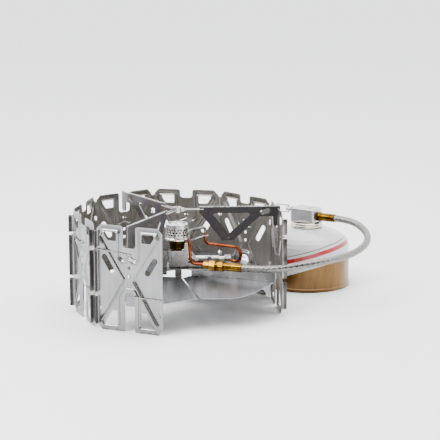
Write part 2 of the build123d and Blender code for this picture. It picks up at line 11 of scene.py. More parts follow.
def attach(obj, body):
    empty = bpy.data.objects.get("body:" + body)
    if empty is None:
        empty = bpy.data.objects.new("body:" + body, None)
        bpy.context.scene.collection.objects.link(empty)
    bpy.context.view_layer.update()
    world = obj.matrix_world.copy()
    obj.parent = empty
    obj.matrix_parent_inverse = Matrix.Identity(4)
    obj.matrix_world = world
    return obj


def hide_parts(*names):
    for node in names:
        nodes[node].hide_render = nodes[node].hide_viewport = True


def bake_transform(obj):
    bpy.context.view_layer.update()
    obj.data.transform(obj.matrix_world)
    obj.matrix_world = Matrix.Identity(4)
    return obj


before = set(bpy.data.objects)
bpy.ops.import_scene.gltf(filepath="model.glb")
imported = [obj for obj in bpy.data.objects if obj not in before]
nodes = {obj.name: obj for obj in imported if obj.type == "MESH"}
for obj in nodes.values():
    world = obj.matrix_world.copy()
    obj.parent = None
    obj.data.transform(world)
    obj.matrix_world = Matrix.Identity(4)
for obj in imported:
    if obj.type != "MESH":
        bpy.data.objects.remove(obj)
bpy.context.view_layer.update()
MM = 0.001

# ---------------------------------------------------------------- driving dimensions, in millimetres
SHEET = 0.6  # thickness of the stamped sheet
EDGE = 0.12  # how far its edges are broken
PANEL_WIDTH = 66.0
PANEL_HEIGHT = 98.0
HINGE_PITCH = 70.6
FREE_EDGE = (-8.3, -102.5)
FIRST_HEADING = 156.3
TURNS = (44, 35, 40, 47, 35, 38)
PANELS = {
    "panel_front": "screen_front",
    "panel_front_left": "screen_front_left",
    "panel_left": "screen_left",
    "panel_rear_left": "stove_base",
    "panel_rear": "screen_rear",
    "panel_rear_right": "screen_rear_right",
    "panel_right": "screen_right",
}
ARM_PANELS = (0, 3, 6)  # the panels whose deep notch carries a pot support
NOTCH_HALF = 6.25
ARM_NOTCH_FLOOR = 78.0
NOTCH_FLOOR = 89.5
ARCH_HALF = 5.0
ARCH_TOP = 37.0
FLANGE = 4.4  # how far the flanges stand out of a panel
FLANGE_STRIPS = ((5, 31), (35, 73), (77, 92))
EMBOSS = 0.9  # how far the X of a panel stands out from its border
EMBOSS_SLOPE = 1.0  # how wide the step round it is
EMBOSS_MIDDLE = SHEET / 2 * 0.33  # how far out the middle of its sheet lies
GROOVE_DEPTH = 0.6  # of the bead that follows the step inside the X
GROOVE_IN = 1.5
GROOVE_HALF = 0.55
HINGE_TAB = 34.9  # how far the tabs along a panel's sides reach towards the hinge
WIRE_R = 0.5
WIRE_LOW = 33.0  # heights between which a hinge wire stands upright
WIRE_HIGH = 75.0
WIRE_OUT = 1.05  # how far it lies out of a panel's plane
WIRE_HOLE = (1.4, 72.3)  # the small holes that it passes through, on each side of a panel's middle
WIRE_BOW = 1.1  # how far it bows along each panel
BOW_AT = 17.0  # where, from the panel's middle
HOSE_D = 6.7
UP_PANEL = (1, 0.04, 1)  # streaks that run up and down a panel, in its own axes
OUT_SHEET = (1, 0.05, 0.2)  # streaks that run outwards in the reflector

# in metres, as the materials need them
CUP_FLARE = 0.113  # how fast the burner cup widens downwards
CUP_REACH = 0.01971  # of its outer face: radius plus flare times height
INNER_SHADE_TOP = 0.0800  # height up to which its inside is painted near black as shade
BURNT_FROM = 0.0725  # where the preheat tube starts to turn grey, as height plus noise
EDGE_HIGHLIGHT_FROM = 0.0978  # height above which the supports get a painted highlight
EDGE_RISE = (0.30, -0.25, -0.0018)  # the edge between the canister's gold and white: z = a x + b y + c
BAND_RISE = (0.27, -0.065, 0.0030)  # the lower edge of its red band, given in the same way
BAND_WIDTH = 0.0042
LINE_START = 0.0068  # of the thin dark line above the band
LINE_WIDTH = 0.0008
EDGE_SOFT = 0.00025  # how far the white blends into the gold
SOFT = 0.0002  # how far the band and the line blend into it


# ---------------------------------------------------------------- camera
def make_camera():
    data = bpy.data.cameras.new("camera")
    data.lens = 117.56
    data.sensor_width = 36.0
    data.clip_start = 0.05
    camera = bpy.data.objects.new("camera", data)
    camera.location = (0.0411, -1.3445, 0.3634)
    camera.rotation_euler = (math.radians(90 - 11.66), 0, 0)
    bpy.context.scene.collection.objects.link(camera)
    bpy.context.scene.camera = camera


make_camera()


# ---------------------------------------------------------------- materials
class Shader:
    """A small helper round one node material."""

    def __init__(self, name):
        self.material = bpy.data.materials.new(name)
        self.material.use_nodes = True
        self.tree = self.material.node_tree
        self.surface = self.tree.nodes["Principled BSDF"]
        coordinates = self.tree.nodes.new("ShaderNodeTexCoord")
        self.place = coordinates.outputs["Object"]
        self.normal = coordinates.outputs["Normal"]
        self.height = None

    def node(self, kind, inputs=None, **settings):
        made = self.tree.nodes.new(kind)
        for key, value in settings.items():
            setattr(made, key, value)
        for key, value in (inputs or {}).items():
            if isinstance(value, bpy.types.NodeSocket):
                self.tree.links.new(value, made.inputs[key])
            else:
                made.inputs[key].default_value = value
        return made

    def noise(self, scale, detail=4.0, stretch=(1, 1, 1)):
        """Noise in object coordinates. A small stretch along an axis draws it out that way."""
        stretched = self.node("ShaderNodeMapping", {"Vector": self.place, "Scale": stretch}).outputs[0]
        made = self.node("ShaderNodeTexNoise", {"Vector": stretched, "Scale": scale, "Detail": detail})
        return made.outputs["Fac"]

    def ramp(self, factor, stops):
        made = self.node("ShaderNodeValToRGB", {"Fac": factor})
        band = made.color_ramp
        while len(band.elements) < len(stops):
            band.elements.new(0.5)
        for element, (at, colour) in zip(band.elements, stops):
            element.position = at
            element.color = (*colour, 1)
        return made.outputs["Color"]

    def mix(self, factor, first, second):
        made = self.node("ShaderNodeMix", {"Factor": factor}, data_type="RGBA")
        for index, value in ((6, first), (7, second)):
            if isinstance(value, bpy.types.NodeSocket):
                self.tree.links.new(value, made.inputs[index])
            else:
                made.inputs[index].default_value = (*value, 1)
        return made.outputs[2]

    def math(self, operation, first, second=0.0, third=0.0):
        made = self.node("ShaderNodeMath", operation=operation)
        for index, value in enumerate((first, second, third)):
            if isinstance(value, bpy.types.NodeSocket):
                self.tree.links.new(value, made.inputs[index])
            else:
                made.inputs[index].default_value = value
        return made.outputs[0]

    def spread(self, value, low, high, to_low, to_high):
        made = self.node(
            "ShaderNodeMapRange",
            {"Value": value, "From Min": low, "From Max": high, "To Min": to_low, "To Max": to_high},
        )
        return made.outputs[0]

    def axis(self, index):
        return self.node("ShaderNodeSeparateXYZ", {"Vector": self.place}).outputs[index]

    def radius_from(self, x, y):
        """Distance in metres from an upright axis."""
        flat = self.node("ShaderNodeVectorMath", {0: self.place, 1: (1, 1, 0)}, operation="MULTIPLY")
        return self.node(
            "ShaderNodeVectorMath", {0: flat.outputs[0], 1: (x, y, 0)}, operation="DISTANCE"
        ).outputs["Value"]

    def bump(self, height, distance, strength=0.5):
        inputs = {"Height": height, "Distance": distance, "Strength": strength}
        if self.height is not None:
            inputs["Normal"] = self.height
        self.height = self.node("ShaderNodeBump", inputs).outputs[0]

    def finish(self, colour, roughness, **constants):
        for key, value in (("Base Color", colour), ("Roughness", roughness)):
            if isinstance(value, bpy.types.NodeSocket):
                self.tree.links.new(value, self.surface.inputs[key])
            else:
                self.surface.inputs[key].default_value = value
        for key, value in constants.items():
            self.surface.inputs[key.replace("_", " ")].default_value = value
        if self.height is not None:
            self.tree.links.new(self.height, self.surface.inputs["Normal"])
        return self.material


def sheet_metal(name, dark, light, roughness):
    """Rolled sheet: cloudy tone with a fine grain in its colour, gloss and relief."""
    s = Shader(name)
    tone = s.math("MULTIPLY_ADD", s.noise(260, 3), 0.3, s.math("MULTIPLY", s.noise(28, 4), 0.7))
    colour = s.ramp(tone, [(0.32, dark), (0.68, light)])
    gloss = s.spread(s.noise(420, 4), 0.3, 0.7, roughness - 0.06, roughness + 0.07)
    s.bump(s.noise(900, 2), 0.00003, 0.05)
    s.bump(s.noise(30, 2), 0.0006, 0.04)
    return s.finish(colour, gloss, Metallic=1.0)


def screen_metal():
    """Panel sheet: silver outside, with a browner tone painted as shade on the side that faces the burner,
    inside the ring.
    """
    s = Shader("screen_steel")
    tone = s.math("MULTIPLY_ADD", s.noise(260, 2, UP_PANEL), 0.25, s.math("MULTIPLY", s.noise(24, 3), 0.75))
    outside = s.ramp(tone, [(0.32, (0.20, 0.20, 0.203)), (0.68, (0.32, 0.32, 0.325))])
    # painted shade: the side that faces the burner, inside the ring, gets this browner tone
    within = s.ramp(tone, [(0.32, (0.235, 0.218, 0.198)), (0.68, (0.32, 0.30, 0.273))])
    facing = s.node("ShaderNodeSeparateXYZ", {"Vector": s.normal}).outputs[2]
    colour = s.mix(s.spread(facing, -0.25, 0.25, 0.0, 1.0), within, outside)
    # painted shade: the flanges, which stand out of the panel, are painted near black for the shade in the
    # hinge gaps
    flange = s.spread(s.axis(2), 0.0006, 0.0016, 0.0, 1.0)
    colour = s.mix(flange, colour, (0.085, 0.08, 0.075))
    fine = s.spread(s.noise(420, 4, UP_PANEL), 0.3, 0.7, -0.04, 0.05)
    gloss = s.math("ADD", fine, s.spread(facing, -0.25, 0.25, 0.38, 0.25))
    s.bump(s.noise(900, 3, UP_PANEL), 0.00003, 0.08)
    s.bump(s.noise(30, 2), 0.0006, 0.04)
    return s.finish(colour, gloss, Metallic=1.0)


def reflector_metal():
    """Smooth bright sheet with a faint blue cast and soft streaks that run outwards."""
    s = Shader("reflector_steel")
    clouds = s.math("MULTIPLY", s.noise(20, 3), 0.4)
    tone = s.math("MULTIPLY_ADD", s.noise(220, 2, OUT_SHEET), 0.6, clouds)
    colour = s.ramp(tone, [(0.3, (0.15, 0.153, 0.162)), (0.7, (0.31, 0.318, 0.335))])
    gloss = s.spread(s.noise(300, 2, OUT_SHEET), 0.3, 0.7, 0.3, 0.38)
    s.bump(s.noise(400, 2, OUT_SHEET), 0.00004, 0.12)
    return s.finish(colour, gloss, Metallic=1.0)


def support_metal(name, shade):
    """Dark truss sheet: heat tints towards the burner, with a painted highlight in noisy patches along the
    toothed top edge. Shade scales the whole colour, for a lit and a shaded copy of one sheet.
    """
    s = Shader(name)
    near = s.spread(s.radius_from(0, 0), 0.02, 0.06, 1.0, 0.0)
    stops = (
        (0.1, (0.040, 0.039, 0.041)),
        (0.45, (0.048, 0.044, 0.041)),
        (0.7, (0.042, 0.038, 0.046)),
        (0.9, (0.062, 0.048, 0.038)),
    )
    heat = s.math("MULTIPLY_ADD", s.noise(60, 3), 0.35, s.math("MULTIPLY", near, 0.7))
    tint = s.ramp(heat, [(at, tuple(shade * part for part in colour)) for at, colour in stops])
    # painted highlight: the top of the sheet along its toothed edge is painted light grey in noisy patches
    top_edge_highlight = s.spread(s.axis(2), EDGE_HIGHLIGHT_FROM, EDGE_HIGHLIGHT_FROM + 0.0011, 0.0, 1.0)
    broken_highlight = s.math("MULTIPLY", top_edge_highlight, s.spread(s.noise(300, 2), 0.35, 0.55, 0.35, 1.0))
    colour = s.mix(broken_highlight, tint, (0.62, 0.61, 0.6))
    s.bump(s.noise(700, 3), 0.00004, 0.3)
    return s.finish(colour, s.spread(s.noise(300, 4), 0.3, 0.7, 0.3, 0.46), Metallic=1.0)


def bright_metal(name, colour, roughness, grain=600):
    """Turned or drawn bright metal with fine tool marks and light tarnish."""
    s = Shader(name)
    darker = tuple(c * 0.72 for c in colour)
    tone = s.ramp(s.noise(90, 4), [(0.35, darker), (0.6, colour)])
    gloss = s.spread(s.noise(grain, 3), 0.3, 0.7, roughness - 0.05, roughness + 0.08)
    s.bump(s.noise(grain * 1.5, 2), 0.00003, 0.3)
    return s.finish(tone, gloss, Metallic=1.0)


def burner_metal():
    """Polished steel outside; the inside of the cup and the walls of its ports are painted near black as
    shade, so that the flame ports read as dark.
    """
    s = Shader("burner_steel")
    bright = s.ramp(s.noise(90, 4), [(0.35, (0.62, 0.61, 0.59)), (0.6, (0.86, 0.85, 0.83))])
    cone = s.math("MULTIPLY_ADD", s.axis(2), CUP_FLARE, s.radius_from(0, 0))
    # painted shade: inside the cup's outer face and below its top, the steel is painted near black
    cup_inner_shade = s.spread(cone, CUP_REACH - 0.0006, CUP_REACH - 0.0002, 1.0, 0.0)
    below = s.spread(s.axis(2), INNER_SHADE_TOP, INNER_SHADE_TOP + 0.0008, 1.0, 0.0)
    colour = s.mix(s.math("MULTIPLY", cup_inner_shade, below), bright, (0.01, 0.009, 0.008))
    s.bump(s.noise(900, 2), 0.00003, 0.3)
    return s.finish(colour, s.spread(s.noise(600, 3), 0.3, 0.7, 0.15, 0.28), Metallic=1.0)


def brass_metal(name, polish=0.16, shade=1.0):
    """Turned brass: warm, with darker and lighter patches at random and a fine grain in its relief."""
    s = Shader(name)
    stops = ((0.32, (0.045, 0.018, 0.001)), (0.5, (0.13, 0.064, 0.005)), (0.68, (0.27, 0.148, 0.017)))
    tone = s.ramp(s.noise(120, 5), [(at, tuple(shade * part for part in colour)) for at, colour in stops])
    s.bump(s.noise(500, 2), 0.00006, 0.35)
    return s.finish(tone, s.spread(s.noise(350, 3), 0.3, 0.7, polish - 0.04, polish + 0.12), Metallic=1.0)


def copper_metal():
    """Drawn copper that the flame has turned grey where it passes beside the burner."""
    s = Shader("preheat_copper")
    fresh = s.ramp(s.noise(150, 4), [(0.3, (0.12, 0.022, 0.007)), (0.65, (0.25, 0.055, 0.019))])
    burnt = s.ramp(s.noise(110, 4), [(0.35, (0.12, 0.108, 0.10)), (0.65, (0.28, 0.265, 0.25))])
    height = s.math("MULTIPLY_ADD", s.noise(80, 3), 0.006, s.axis(2))
    high = s.spread(height, BURNT_FROM, BURNT_FROM + 0.005, 0.0, 1.0)
    s.bump(s.noise(650, 3), 0.00004, 0.3)
    return s.finish(s.mix(high, fresh, burnt), s.spread(s.noise(200, 3), 0.3, 0.7, 0.2, 0.36), Metallic=1.0)


def braid_metal():
    """Fine stainless wire of the hose's woven sleeve."""
    s = Shader("braid_wire")
    tone = s.ramp(s.noise(700, 3), [(0.3, (0.13, 0.126, 0.118)), (0.65, (0.25, 0.242, 0.228))])
    s.bump(s.noise(2600, 2), 0.00004, 0.1)
    return s.finish(tone, s.spread(s.noise(500, 2), 0.3, 0.7, 0.18, 0.3), Metallic=1.0)


def hose_core():
    """The dark rubber hose that shows between the wires."""
    s = Shader("hose_core")
    tone = s.ramp(s.noise(300, 3), [(0.3, (0.06, 0.058, 0.055)), (0.7, (0.11, 0.106, 0.10))])
    s.bump(s.noise(1200, 2), 0.00004, 0.3)
    return s.finish(tone, 0.55, Metallic=0.7)


def canister_paint():
    """Gloss lacquer: white over gold with a slanting edge, and a plain red band along the shoulder."""
    s = Shader("canister_paint")
    x, y, z = (s.axis(index) for index in range(3))
    across = s.math("MULTIPLY_ADD", y, EDGE_RISE[1], s.math("MULTIPLY", x, EDGE_RISE[0]))
    slant = s.math("SUBTRACT", z, s.math("ADD", across, EDGE_RISE[2]))
    white = s.ramp(s.noise(35, 3), [(0.35, (0.54, 0.555, 0.535)), (0.65, (0.60, 0.61, 0.59))])
    gold = s.ramp(s.noise(160, 4, (1, 1, 0.3)), [(0.3, (0.115, 0.05, 0.006)), (0.7, (0.175, 0.083, 0.012))])
    over = s.spread(slant, 0.0, EDGE_SOFT, 0.0, 1.0)
    colour = s.mix(over, gold, white)
    band_tilt = s.math("MULTIPLY_ADD", y, BAND_RISE[1], s.math("MULTIPLY", x, BAND_RISE[0]))
    rise = s.math("SUBTRACT", z, s.math("ADD", band_tilt, BAND_RISE[2]))
    band_top = s.spread(rise, BAND_WIDTH, BAND_WIDTH + SOFT, 1, 0)
    band = s.math("MULTIPLY", s.spread(rise, 0.0, SOFT, 0, 1), band_top)
    line_end = LINE_START + LINE_WIDTH
    line_top = s.spread(rise, line_end, line_end + SOFT, 1, 0)
    line = s.math("MULTIPLY", s.spread(rise, LINE_START, LINE_START + SOFT, 0, 1), line_top)
    colour = s.mix(band, colour, (0.38, 0.008, 0.015))
    colour = s.mix(line, colour, (0.03, 0.03, 0.03))
    s.bump(s.noise(220, 2), 0.00005, 0.1)
    metallic = s.spread(over, 0, 1, 0.75, 0.0)
    s.tree.links.new(metallic, s.surface.inputs["Metallic"])
    gloss = s.spread(s.noise(90, 3), 0.3, 0.7, 0.26, 0.34)
    return s.finish(colour, gloss, Coat_Weight=0.4, Coat_Roughness=0.12)


def aluminium_metal():
    """Machined and blasted aluminium."""
    s = Shader("valve_aluminium")
    tone = s.ramp(s.noise(60, 4), [(0.3, (0.46, 0.46, 0.47)), (0.7, (0.60, 0.60, 0.61))])
    s.bump(s.noise(1500, 2), 0.00004, 0.4)
    return s.finish(tone, s.spread(s.noise(400, 3), 0.3, 0.7, 0.34, 0.46), Metallic=1.0)


def rubber():
    s = Shader("seal_rubber")
    s.bump(s.noise(900, 3), 0.00004, 0.4)
    return s.finish(s.ramp(s.noise(200, 3), [(0.3, (0.012, 0.012, 0.012)), (0.7, (0.03, 0.03, 0.03))]), 0.6)


MATERIALS = {
    "screen": screen_metal(),
    "reflector": reflector_metal(),
    # lit and shaded copies of one sheet: arm_right painted darker as the shaded arm, arm_front and arm_rear
    # painted lighter as the lit arms
    "support": support_metal("support_sheet", 0.7),
    "lit_support": support_metal("lit_support_sheet", 3.2),
    "hinge_wire": bright_metal("hinge_wire_steel", (0.25, 0.235, 0.215), 0.24),
    "wire": bright_metal("wire_steel", (0.5, 0.49, 0.47), 0.2),
    "burner": burner_metal(),
    "jet": bright_metal("jet_steel", (0.86, 0.85, 0.83), 0.14),
    "pipe": bright_metal("pipe_steel", (0.6, 0.59, 0.575), 0.16),
    "burner_brass": brass_metal("burner_brass", 0.3, 0.3),
    "fitting_brass": brass_metal("fitting_brass"),
    "bracket": sheet_metal("bracket_steel", (0.17, 0.165, 0.158), (0.36, 0.35, 0.34), 0.26),
    "copper": copper_metal(),
    "braid": braid_metal(),
    "core": hose_core(),
    "paint": canister_paint(),
    "tin": bright_metal("canister_tin", (0.62, 0.57, 0.47), 0.2, 300),
    "aluminium": aluminium_metal(),
    "steel": bright_metal("valve_steel", (0.66, 0.66, 0.66), 0.25),
    "rubber": rubber(),
}
NODE_MATERIALS = {
    "support": ("arm_right",),
    "lit_support": ("arm_front", "arm_rear"),
    "hinge_wire": ("reflector_tie_wire", "closing_hook_wire"),
    "wire": (
        "bail_front",
        "bail_rear",
        "bail_right",
        "support_hub",
        "tube_stay",
        "wire_handle",
    ),
    "reflector": (
        "reflector_plate",
        "reflector_ear",
        "reflector_petal_left",
        "reflector_petal_right",
        "reflector_petal_rear",
        "reflector_petal_back",
    ),
    "burner": ("burner_cup", "burner_top_disc"),
    "jet": ("jet_holder",),
    "pipe": ("mixing_tube",),
    "burner_brass": ("burner_base_ring", "burner_collar", "gas_jet"),
    "fitting_brass": (
        "tube_nut",
        "fitting_body",
        "union_ring",
        "hose_nut",
        "hose_ferrule",
        "outlet_ferrule",
        "outlet_nut",
        "gland_nut",
        "canister_valve",
    ),
    "bracket": ("burner_bracket", "stand_frame", "bracket_screws"),
    "copper": ("preheat_tube",),
    "paint": ("canister_shell",),
    "tin": ("canister_base", "valve_cup"),
    "aluminium": ("valve_block", "valve_cap"),
    "steel": ("valve_spindle", "valve_stem"),
    "rubber": ("valve_seal",),
}


def paint(piece, key):
    piece.data.materials.clear()
    piece.data.materials.append(MATERIALS[key])


for key, members in NODE_MATERIALS.items():
    for member in members:
        paint(nodes[member], key)


# ---------------------------------------------------------------- mesh helpers
def new_object(name, data):
    made = bpy.data.objects.new(name, data)
    bpy.context.scene.collection.objects.link(made)
    return made


def new_mesh(name, points, faces, sharp):
    """A mesh from points in millimetres, smooth except at edges sharper than the given angle."""
    mesh = bpy.data.meshes.new(name)
    mesh.from_pydata([tuple(c * MM for c in p) for p in points], [], faces)
    mesh.update()
    mesh.shade_smooth()
    mesh.set_sharp_from_angle(angle=math.radians(sharp))
    return mesh


def rounded(corners, steps=5):
    """A closed loop through corners given as (x, y, radius), with an arc at each."""
    loop = []
    count = len(corners)
    for index, (x, y, radius) in enumerate(corners):
        here = Vector((x, y))
        before = (Vector(corners[index - 1][:2]) - here).normalized()
        after = (Vector(corners[(index + 1) % count][:2]) - here).normalized()
        half = before.angle(after) / 2
        if radius <= 0 or half > math.radians(89):
            loop.append(here)
            continue
        centre = here + (before + after).normalized() * (radius / math.sin(half))
        start = here + before * (radius / math.tan(half)) - centre
        end = here + after * (radius / math.tan(half)) - centre
        sweep = start.angle_signed(end)
        for step in range(steps + 1):
            turned = start.copy()
            turned.rotate(Matrix.Rotation(-sweep * step / steps, 2))
            loop.append(centre + turned)
    return loop


def circle(x, y, radius, steps=20):
    turns = [2 * math.pi * step / steps for step in range(steps)]
    return [Vector((x + radius * math.cos(turn), y + radius * math.sin(turn))) for turn in turns]


def split_long(loop, longest):
    """The same loop with its long runs divided."""
    finer = []
    for here, after in zip(loop, loop[1:] + loop[:1]):
        parts = max(1, math.ceil((after - here).length / longest))
        finer += [here.lerp(after, part / parts) for part in range(parts)]
    return finer


def grown(loop, distance):
    """The loop moved sideways: outwards for a counter-clockwise loop and a positive distance."""
    moved = []
    count = len(loop)
    for index, here in enumerate(loop):
        first = (here - loop[index - 1]).normalized()
        second = (loop[(index + 1) % count] - here).normalized()
        across = Vector((first.y + second.y, -first.x - second.x)).normalized()
        moved.append(here + across * distance / max(0.5, math.sqrt((1 + first.dot(second)) / 2)))
    return moved


def signed_area(loop):
    return sum(a.x * b.y - b.x * a.y for a, b in zip(loop, loop[1:] + loop[:1])) / 2


def inside(points, loop):
    """For each point, whether it lies within the loop."""
    result = np.zeros(len(points), bool)
    for a, b in zip(loop, loop[1:] + loop[:1]):
        crosses = (a.y > points[:, 1]) != (b.y > points[:, 1])
        if a.y != b.y:
            at = a.x + (points[:, 1] - a.y) * (b.x - a.x) / (b.y - a.y)
            result ^= crosses & (points[:, 0] < at)
    return result


def distance_to(points, loop):
    """For each point, its distance from the loop's line."""
    best = np.full(len(points), 1e9)
    for a, b in zip(loop, loop[1:] + loop[:1]):
        run = np.array(b - a)
        along = np.clip((points - np.array(a)) @ run / max(run @ run, 1e-12), 0, 1)
        gap = points - np.array(a) - along[:, None] * run
        best = np.minimum(best, np.hypot(gap[:, 0], gap[:, 1]))
    return best


RIM_STEP = 2.5  # longest run along a rim, in millimetres
LINE_STEP = 1.6  # longest run along a line inside the sheet


def stamped_sheet(outer, holes, lines, height, spacing):
    """Points and faces of a stamped sheet in its own plane.

    outer and holes are closed loops, lines are closed loops that the mesh follows, and height(points) is
    how far the middle of the sheet stands out of its plane.
    """
    rims = [outer if signed_area(outer) > 0 else outer[::-1]]
    rims += [hole if signed_area(hole) < 0 else hole[::-1] for hole in holes]
    rims = [split_long(rim, RIM_STEP) for rim in rims]
    inner_rims = [grown(rim, -EDGE) for rim in rims]
    lines = [split_long(line, LINE_STEP) for line in lines]
    points, edges = [], []
    for loop in inner_rims + lines:
        first = len(points)
        points += loop
        edges += [(first + i, first + (i + 1) % len(loop)) for i in range(len(loop))]
    flat = np.array(points)
    low, high = flat.min(0), flat.max(0)
    rows = int((high[1] - low[1]) / spacing)
    grid = []
    for row in range(1, rows):
        for column in range(int((high[0] - low[0]) / spacing) + 1):
            grid.append((low[0] + (column + 0.5 * (row % 2)) * spacing, low[1] + row * spacing))
    grid = np.array(grid)
    clear = inside(grid, inner_rims[0])
    for loop in inner_rims + lines:
        clear &= distance_to(grid, loop) > spacing * 0.45
    points += [Vector(p) for p in grid[clear]]
    made = delaunay_2d_cdt(points, edges, [], 0, 1e-5)
    verts, triangles, origins = made[0], made[2], made[3]
    where = {}
    for index, sources in enumerate(origins):
        for source in sources:
            where[source] = index
    centres = np.array([sum((verts[i] for i in t), Vector((0, 0))) / 3 for t in triangles])
    keep = inside(centres, inner_rims[0])
    for rim in inner_rims[1:]:
        keep &= ~inside(centres, rim)
    triangles = [t for t, kept in zip(triangles, keep) if kept]
    flat = np.array([tuple(v) for v in verts])
    rise = height(flat)
    count = len(verts)
    solid = [(x, y, h + SHEET / 2) for (x, y), h in zip(flat, rise)]
    solid += [(x, y, h - SHEET / 2) for (x, y), h in zip(flat, rise)]
    faces = [tuple(t) for t in triangles]
    faces += [tuple(count + i for i in reversed(t)) for t in triangles]
    position = 0
    for rim in rims:
        size = len(rim)
        ids = [where[position + i] for i in range(size)]
        position += size
        rim_rise = height(np.array([tuple(p) for p in rim]))
        first = len(solid)
        solid += [(p.x, p.y, h + SHEET / 2 - EDGE) for p, h in zip(rim, rim_rise)]
        solid += [(p.x, p.y, h - SHEET / 2 + EDGE) for p, h in zip(rim, rim_rise)]
        for i in range(size):
            j = (i + 1) % size
            faces.append((ids[i], first + i, first + j, ids[j]))
            faces.append((first + i, first + size + i, first + size + j, first + j))
            faces.append((first + size + i, count + ids[i], count + ids[j], first + size + j))
    return solid, faces


def drop_loose(points, faces):
    """The same mesh without points that no face uses."""
    used = sorted({i for face in faces for i in face})
    new = {old: index for index, old in enumerate(used)}
    return [points[i] for i in used], [tuple(new[i] for i in face) for face in faces]


# ---------------------------------------------------------------- screen panels
def half_outline(side, hinged, floor):
    """Corners of one half of a panel, from the top notch down to the foot notch."""
    half, top = PANEL_WIDTH / 2, PANEL_HEIGHT
    cut = 4.5
    tabs = []
    for low, high in reversed(FLANGE_STRIPS if hinged else ()):
        tabs += [(half, high, 0.2), (HINGE_TAB, high - 0.8, 0.4)]
        tabs += [(HINGE_TAB, low + 0.8, 0.4), (half, low, 0.2)]
    corners = [
        (NOTCH_HALF, floor, 3),
        (NOTCH_HALF, top, 2.5),
        (half - cut, top, 0.6),
        (half, top - cut, 0.6),
        *tabs,
        (half, cut, 0.4),
        (half - cut, 0, 0.6),
        (ARCH_HALF, 0, 1.5),
        (ARCH_HALF, ARCH_TOP, ARCH_HALF - 0.01),
    ]
    return [(side * x, y, r) for x, y, r in corners]


def panel_outline(hinged_sides, floor):
    left, right = (half_outline(side, side in hinged_sides, floor) for side in (-1, 1))
    return rounded(right + left[::-1], 8)


def panel_emboss():
    """The line round the raised X, its lobes and its legs."""
    right = [
        (0, 69.4, 3),
        (6.6, 66.6, 2),
        (9.3, 69.6, 1.2),
        (9.3, 93.6, 3.2),
        (28.4, 93.6, 2.2),
        (30.3, 87.4, 2.2),
        (5.5, 48.5, 1.2),
        (29.6, 8.6, 2.0),
        (26.6, 3.7, 2.0),
        (8.9, 3.7, 3.2),
        (8.9, 32.5, 4.0),
        (4.6, 39.6, 2.6),
    ]
    return rounded(right + [(-x, y, r) for x, y, r in reversed(right[1:])], 6)


def panel_holes():
    lobe = [(12.8, 91.7, 0.9), (25.3, 91.7, 0.9), (25.3, 89.5, 0.9), (21.5, 83.7, 0.9), (12.8, 83.7, 0.9)]
    foot = [(12.2, 19.5, 0.6), (17.3, 19.5, 0.6), (25.3, 6.5, 0.6), (24.5, 5.0, 0.6), (12.2, 5.0, 0.6)]
    corner = [(28.4, 21.4, 0.3), (31.6, 21.4, 0.3), (31.6, 15.2, 0.3)]
    holes = []
    for side in (1, -1):
        for shape in (lobe, foot, corner):
            holes.append(rounded([(side * x, y, r) for x, y, r in shape]))
        slot = [Vector((x, y)) for x, y in ((-9.5, -2.75), (9.5, -2.75), (9.5, 2.75), (-9.5, 2.75))]
        turn = Matrix.Rotation(math.radians(58), 2)
        slot = [(p.x + 21.7, p.y + 62.3) for p in (turn @ corner_point for corner_point in slot)]
        slot = [(side * x, y, 2.7) for x, y in slot]
        holes.append(rounded(slot, 8))
    for y in (52, 60):
        holes.append(circle(0, y, 1.5))
    for side in (-1, 1):
        holes.append(circle(side * WIRE_HOLE[0], WIRE_HOLE[1], 0.8, 12))
    return holes


def flange_strip(low, high, side):
    """One bent strip along a panel's side, swept up from a section with a round bend."""
    bend = 1.2  # radius of its middle line
    lap = 30.9  # where it starts on the panel
    steps = 5
    half = PANEL_WIDTH / 2
    bend_start = half - bend
    middle = [(lap, -EMBOSS), (bend_start, -EMBOSS)]
    for step in range(1, steps + 1):
        turn = math.radians(90 * step / steps)
        middle.append((bend_start + bend * math.sin(turn), -EMBOSS + bend - bend * math.cos(turn)))
    middle.append((half, FLANGE - 0.4))
    section = []
    for sign in (1, -1):
        line = middle if sign == 1 else middle[::-1]
        for x, z in line:
            flat = x < bend_start + 0.001
            upright = abs(x - half) < 0.001
            curve = 0 if flat or upright else math.asin((x - bend_start) / bend)
            angle = math.pi / 2 if upright else curve
            side_step = sign * math.sin(angle) * SHEET / 2 - SHEET / 2
            section.append((x + side_step, z - sign * math.cos(angle) * SHEET / 2))
    heights = (low, low + EDGE, high - EDGE, high)
    points, faces = [], []
    size = len(section)
    centre = (sum(x for x, z in section) / size, sum(z for x, z in section) / size)
    for y in heights:
        shrink = 0.9 if y in (low, high) else 1.0
        for x, z in section:
            across = centre[0] + (x - centre[0]) * shrink
            points.append((side * across, y, centre[1] + (z - centre[1]) * shrink))
    for ring in range(len(heights) - 1):
        for i in range(size):
            j = (i + 1) % size
            a, b = ring * size, (ring + 1) * size
            face = (a + i, a + j, b + j, b + i)
            faces.append(face if side < 0 else face[::-1])
    bottom, top = tuple(range(size)), tuple(range(3 * size, 4 * size))
    faces.append(bottom[::-1] if side < 0 else bottom)
    faces.append(top if side < 0 else top[::-1])
    return points, faces


